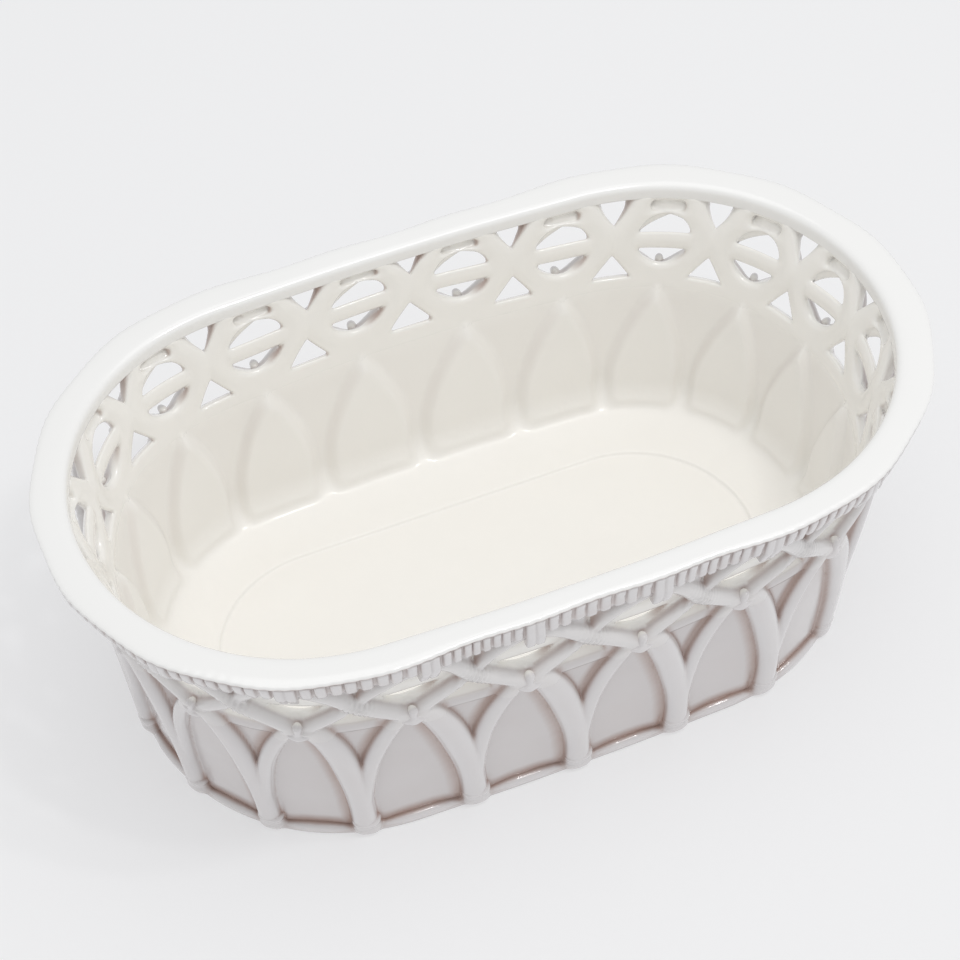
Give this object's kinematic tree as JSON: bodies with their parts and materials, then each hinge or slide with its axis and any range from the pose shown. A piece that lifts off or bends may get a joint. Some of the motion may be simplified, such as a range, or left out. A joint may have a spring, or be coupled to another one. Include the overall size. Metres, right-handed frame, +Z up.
{
  "type": "cachepot",
  "caption": "Oval glazed ceramic cachepot in the form of a cane basket: pointed arch relief on the wall, pierced lattice gallery, broad smooth rim with a reeded edge.",
  "frame": {"origin": "on the standing surface, under the middle of the oval", "axes": "+Z up, X along the long axis of the oval, -Y towards the side nearest the camera in the picture"},
  "size_m": [0.3494, 0.1998, 0.125],
  "materials": {
    "white_glaze": "gloss",
    "ivory_glaze": "gloss",
    "shaded_glaze": "gloss",
    "bisque": "matt"
  },
  "bodies": {
    "root": {"foot_ring": "bisque", "floor": "ivory_glaze", "cove": "ivory_glaze", "wall": "ivory_glaze", "gallery": "ivory_glaze", "rim": "white_glaze", "rim_binding": "white_glaze", "base_binding": "shaded_glaze", "arch_01": "shaded_glaze", "arch_02": "shaded_glaze", "arch_03": "shaded_glaze", "arch_04": "shaded_glaze", "arch_05": "shaded_glaze", "arch_06": "shaded_glaze", "arch_07": "shaded_glaze", "arch_08": "shaded_glaze", "arch_09": "shaded_glaze", "arch_10": "shaded_glaze", "arch_11": "shaded_glaze", "arch_12": "shaded_glaze", "arch_13": "shaded_glaze", "arch_14": "shaded_glaze", "arch_15": "shaded_glaze", "arch_16": "shaded_glaze", "arch_17": "shaded_glaze", "arch_18": "shaded_glaze", "arch_19": "shaded_glaze", "arch_20": "shaded_glaze", "knot_01": "white_glaze", "knot_02": "white_glaze", "knot_03": "white_glaze", "knot_04": "white_glaze", "knot_05": "white_glaze", "knot_06": "white_glaze", "knot_07": "white_glaze", "knot_08": "white_glaze", "knot_09": "white_glaze", "knot_10": "white_glaze", "knot_11": "white_glaze", "knot_12": "white_glaze", "knot_13": "white_glaze", "knot_14": "white_glaze", "knot_15": "white_glaze", "knot_16": "white_glaze", "knot_17": "white_glaze", "knot_18": "white_glaze", "knot_19": "white_glaze", "knot_20": "white_glaze"}
  },
  "joints": []
}
